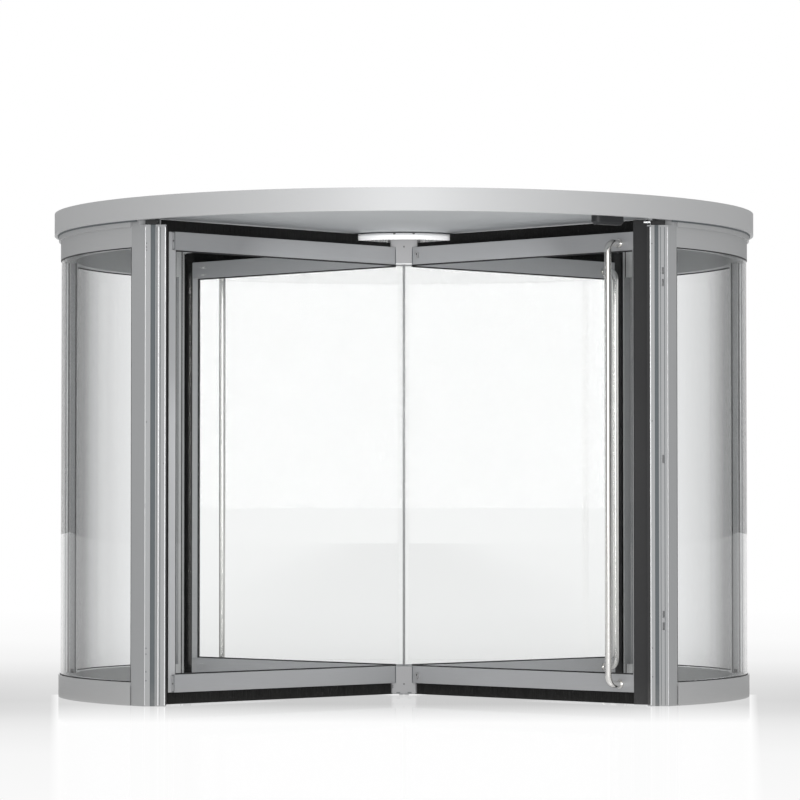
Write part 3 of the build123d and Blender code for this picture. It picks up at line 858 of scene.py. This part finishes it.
def buildMullionTrims():
    dark, bright = bmesh.new(), bmesh.new()
    for turn in halfTurns:
        for side in (-1, 1):
            sideward = axes((1, 0, 0), (0, side, 0), (0, 0, 1))
            for bm, lines in ((dark, mullionTrim["dark"]), (bright, mullionTrim["bright"])):
                for x, width in lines:
                    spots = [(x, side * mullionTrim["face"], z) for z in mullionTrim["heights"]]
                    addStraight(bm, lipOutline(width, mullionTrim["proud"]), turn, spots, sideward)
            addUpright(dark, mullionTrim["pad"], turn, mullionTrim["padHeights"], side * mullionTrim["padFace"],
                       sideward)
    finishPiece("mullion_joints", dark, "sealBlack", "drum")
    finishPiece("mullion_beads", bright, "trimBright", "drum")


buildMullionTrims()
print("seals and trims made")

# Lens under each motion sensor
sensor = {"turn": 34.3, "radius": 1.537, "base": 2.057, "stations": (-0.052, -0.050, 0.050, 0.052),
          "outline": ((-0.014, -0.0004), (-0.009, 0.0016), (0, 0.0024), (0.009, 0.0016), (0.014, -0.0004))}


def buildSensorLenses():
    bm = bmesh.new()
    for degrees in (0, 180):
        addStraight(bm, sensor["outline"], spun(degrees + sensor["turn"]),
                    [(x, -sensor["radius"], sensor["base"]) for x in sensor["stations"]],
                    axes((0, 1, 0), (0, 0, -1), (1, 0, 0)))
    finishPiece("sensor_lenses", bm, "sensorPlastic", "drum")


buildSensorLenses()

# Key slot and rim on each lock cylinder; the key slot is painted shade, a thin black box on the face for the dark
# keyway
lock = {"along": 0.112, "face": -0.031, "heights": (0.094, 2.012), "rimRadius": 0.0052, "rimWidth": 0.0016,
        "rimProud": 0.0010, "rimSteps": 24, "slotHalfSizes": (0.0026, 0.0046), "slotProud": 0.0006}


def buildLockFaces():
    rims, slotShades = bmesh.new(), bmesh.new()
    halfWidth, halfHeight = lock["slotHalfSizes"]
    for turn in wingTurns.values():
        for z in lock["heights"]:
            centre = turn @ Matrix.Translation((lock["along"], lock["face"], z))
            ring = []
            for i in range(lock["rimSteps"] + 1):
                angle = 2 * math.pi * i / lock["rimSteps"]
                out = Vector((math.cos(angle), 0, math.sin(angle)))
                onwards = (-math.sin(angle), 0, math.cos(angle))
                ring.append(centre @ Matrix.Translation(out * lock["rimRadius"]) @ axes(out, (0, -1, 0), onwards))
            addRun(rims, lipOutline(lock["rimWidth"], lock["rimProud"]), ring)
            addUpright(slotShades, boxOutline(-halfWidth, halfWidth, 0, lock["slotProud"]), centre,
                       (-halfHeight, halfHeight), 0, frontward)
    finishPiece("lock_rims", rims, "lockSteel", "rotor")
    finishPiece("lock_key_slots", slotShades, "sealBlack", "rotor")


buildLockFaces()
print("sensor and lock details made")

# Floor: its tone along y, a painted shadow band along the door's line, the white field in front, how much it
# lights the door, and its faint reflection
floorLook = {
    "height": -0.0005, "middle": 60, "size": 200, "span": (-8.0, 17.0),
    "shadowTones": ((-7.0, 0.96), (-4.4, 0.93), (-3.0, 0.87), (-2.1, 0.80), (-1.4, 0.70), (-0.6, 0.62), (0.4, 0.67),
              (1.5, 0.76), (2.8, 0.84), (4.2, 0.905), (7.7, 0.965), (16.0, 1.0)),
    "fieldHalf": 1.585, "fieldSlope": 0.0906, "fieldEdge": 30.0,
    "light": 0.35, "innerLight": 0.2, "innerRadius": 1.5, "innerEdge": 5.0,
    "gloss": 0.04, "glossFrom": (-2.4, -0.9), "glossShares": (0.02, 0.42), "glossEnd": 2.4, "glossFade": 0.7,
}


def buildFloor():
    bpy.ops.mesh.primitive_plane_add(size=1)
    floor = bpy.context.object
    floor.name = "studio_floor"
    floor.data.transform(Matrix.Translation((0, floorLook["middle"], floorLook["height"]))
                         @ Matrix.Diagonal((floorLook["size"], floorLook["size"], 1, 1)))
    material = bpy.data.materials.new("paleFloor")
    material.use_nodes = True
    tree = material.node_tree
    tree.nodes.clear()
    place, parts = coordinates(tree)
    # Painted shadow: darker in a band along the door's line and lighter away from it, standing in for the door's
    # shadow on the floor
    low, high = floorLook["span"]
    along = mathNode(tree, "DIVIDE", mathNode(tree, "SUBTRACT", parts["Y"], low), high - low, True)
    shadowBand = greyRamp(tree, along, [((y - low) / (high - low), value) for y, value in floorLook["shadowTones"]])
    # White in front of the door, between the walls
    half = mathNode(tree, "ADD", mathNode(tree, "MULTIPLY", parts["Y"], floorLook["fieldSlope"]),
                    floorLook["fieldHalf"])
    past = mathNode(tree, "SUBTRACT", mathNode(tree, "ABSOLUTE", parts["X"]), half)
    aside = mathNode(tree, "MULTIPLY", past, floorLook["fieldEdge"], True)
    ahead = mathNode(tree, "LESS_THAN", parts["Y"], 0.0)
    field = mathNode(tree, "MULTIPLY", mathNode(tree, "SUBTRACT", 1.0, aside), ahead)
    # The floor lights the door from below more than it shows
    ray = tree.nodes.new("ShaderNodeLightPath").outputs
    length = vectorNode(tree, "LENGTH", {0: place})["Value"]
    within = mathNode(tree, "MULTIPLY", mathNode(tree, "SUBTRACT", floorLook["innerRadius"], length),
                      floorLook["innerEdge"], True)
    gain = mathNode(tree, "ADD", mathNode(tree, "MULTIPLY", within, floorLook["innerLight"]), floorLook["light"])
    lift = mathNode(tree, "MULTIPLY", ray["Is Diffuse Ray"], gain)
    glow = addNode(tree, "ShaderNodeEmission", {
        "Color": mixColour(tree, field, shadowBand, (1.0, 1.0, 1.0, 1)), "Strength": mathNode(tree, "ADD", lift, 1.0)})
    # Reflects only near the door, so that the floor runs out into white behind it
    mirror = addNode(tree, "ShaderNodeBsdfGlossy", {"Roughness": floorLook["gloss"]})
    fade = addNode(tree, "ShaderNodeMapRange", {
        "Value": parts["Y"], "From Min": floorLook["glossFrom"][0], "From Max": floorLook["glossFrom"][1],
        "To Min": floorLook["glossShares"][0], "To Max": floorLook["glossShares"][1]})
    near = mathNode(tree, "MULTIPLY", mathNode(tree, "SUBTRACT", floorLook["glossEnd"], parts["Y"]),
                    floorLook["glossFade"], True)
    share = mathNode(tree, "MULTIPLY", fade.outputs["Result"], near)
    addNode(tree, "ShaderNodeOutputMaterial", {"Surface": mixShaders(tree, share, glow, mirror)})
    floor.data.materials.append(material)


buildFloor()

# World: reflections see it darker to both sides, as between black cards, and darker still behind the door
studio = {"sides": ((0.1, 1.0), (0.95, 0.10)), "behind": 0.05, "veilFrom": 0.05, "veilEdge": 4.0, "veil": 0.8,
          "even": (0.76, 0.76, 0.76, 1), "strength": 1.15}


def buildWorld():
    world = bpy.data.worlds.new("studio")
    scene.world = world
    world.use_nodes = True
    tree = world.node_tree
    tree.nodes.clear()
    parts = coordinates(tree, "Generated")[1]
    side = mathNode(tree, "ABSOLUTE", parts["X"])
    behind = mathNode(tree, "GREATER_THAN", parts["Y"], studio["behind"])
    beyond = mathNode(tree, "SUBTRACT", side, studio["veilFrom"])
    veil = mathNode(tree, "MULTIPLY", beyond, studio["veilEdge"], True)
    veiled = mathNode(tree, "MULTIPLY", mathNode(tree, "MULTIPLY", behind, veil), studio["veil"])
    shade = mathNode(tree, "SUBTRACT", 1.0, veiled)
    # Only reflections see the dark sides, while all other light is even
    ray = tree.nodes.new("ShaderNodeLightPath").outputs
    reflected = mixColour(tree, shade, (0, 0, 0, 1), greyRamp(tree, side, studio["sides"]))
    soft = addNode(tree, "ShaderNodeBackground", {
        "Color": mixColour(tree, ray["Is Glossy Ray"], studio["even"], reflected), "Strength": studio["strength"]})
    white = addNode(tree, "ShaderNodeBackground", {"Color": (1, 1, 1, 1)})
    seen = mathNode(tree, "MAXIMUM", ray["Is Camera Ray"], ray["Is Transmission Ray"])
    addNode(tree, "ShaderNodeOutputWorld", {"Surface": mixShaders(tree, seen, soft, white)})


buildWorld()

lampAim = Vector((0, 0, 1.0))
lamps = {
    "front_softbox": {"at": (0.0, -9.0, 5.5), "size": (5.0, 2.5), "power": 30},
    "top_softbox": {"at": (0.0, -1.0, 6.5), "size": (5.0, 5.0), "power": 160},
    "front_fill": {"at": (0.0, -21.0, 2.4), "size": (6.0, 3.0), "power": 500},
    "rear_softbox": {"at": (0.0, 8.0, 4.5), "size": (6.0, 2.5), "power": 160},
    "inner_fill": {"at": (0.0, -1.0, 1.5), "size": (1.4, 0.8), "power": 12, "unseen": True},
}
for name, lamp in lamps.items():
    data = bpy.data.lights.new(name, "AREA")
    data.shape = "RECTANGLE"
    data.size, data.size_y = lamp["size"]
    data.energy = lamp["power"]
    light = bpy.data.objects.new(name, data)
    light.location = lamp["at"]
    light.rotation_euler = (lampAim - Vector(lamp["at"])).to_track_quat("-Z", "Y").to_euler()
    if lamp.get("unseen"):
        light.visible_camera = light.visible_glossy = light.visible_transmission = False
    scene.collection.objects.link(light)

view = {"lens": 171.9, "sensor": 36, "reach": 400, "at": (-0.018, -17.515, 0.812), "pitch": 91.754}
camera = bpy.data.objects.new("camera", bpy.data.cameras.new("camera"))
camera.data.lens = view["lens"]
camera.data.sensor_width = view["sensor"]
camera.data.clip_end = view["reach"]
camera.location = view["at"]
camera.rotation_euler = (math.radians(view["pitch"]), 0, 0)
scene.collection.objects.link(camera)
scene.camera = camera
scene.view_settings.view_transform = "Standard"
print("studio made")
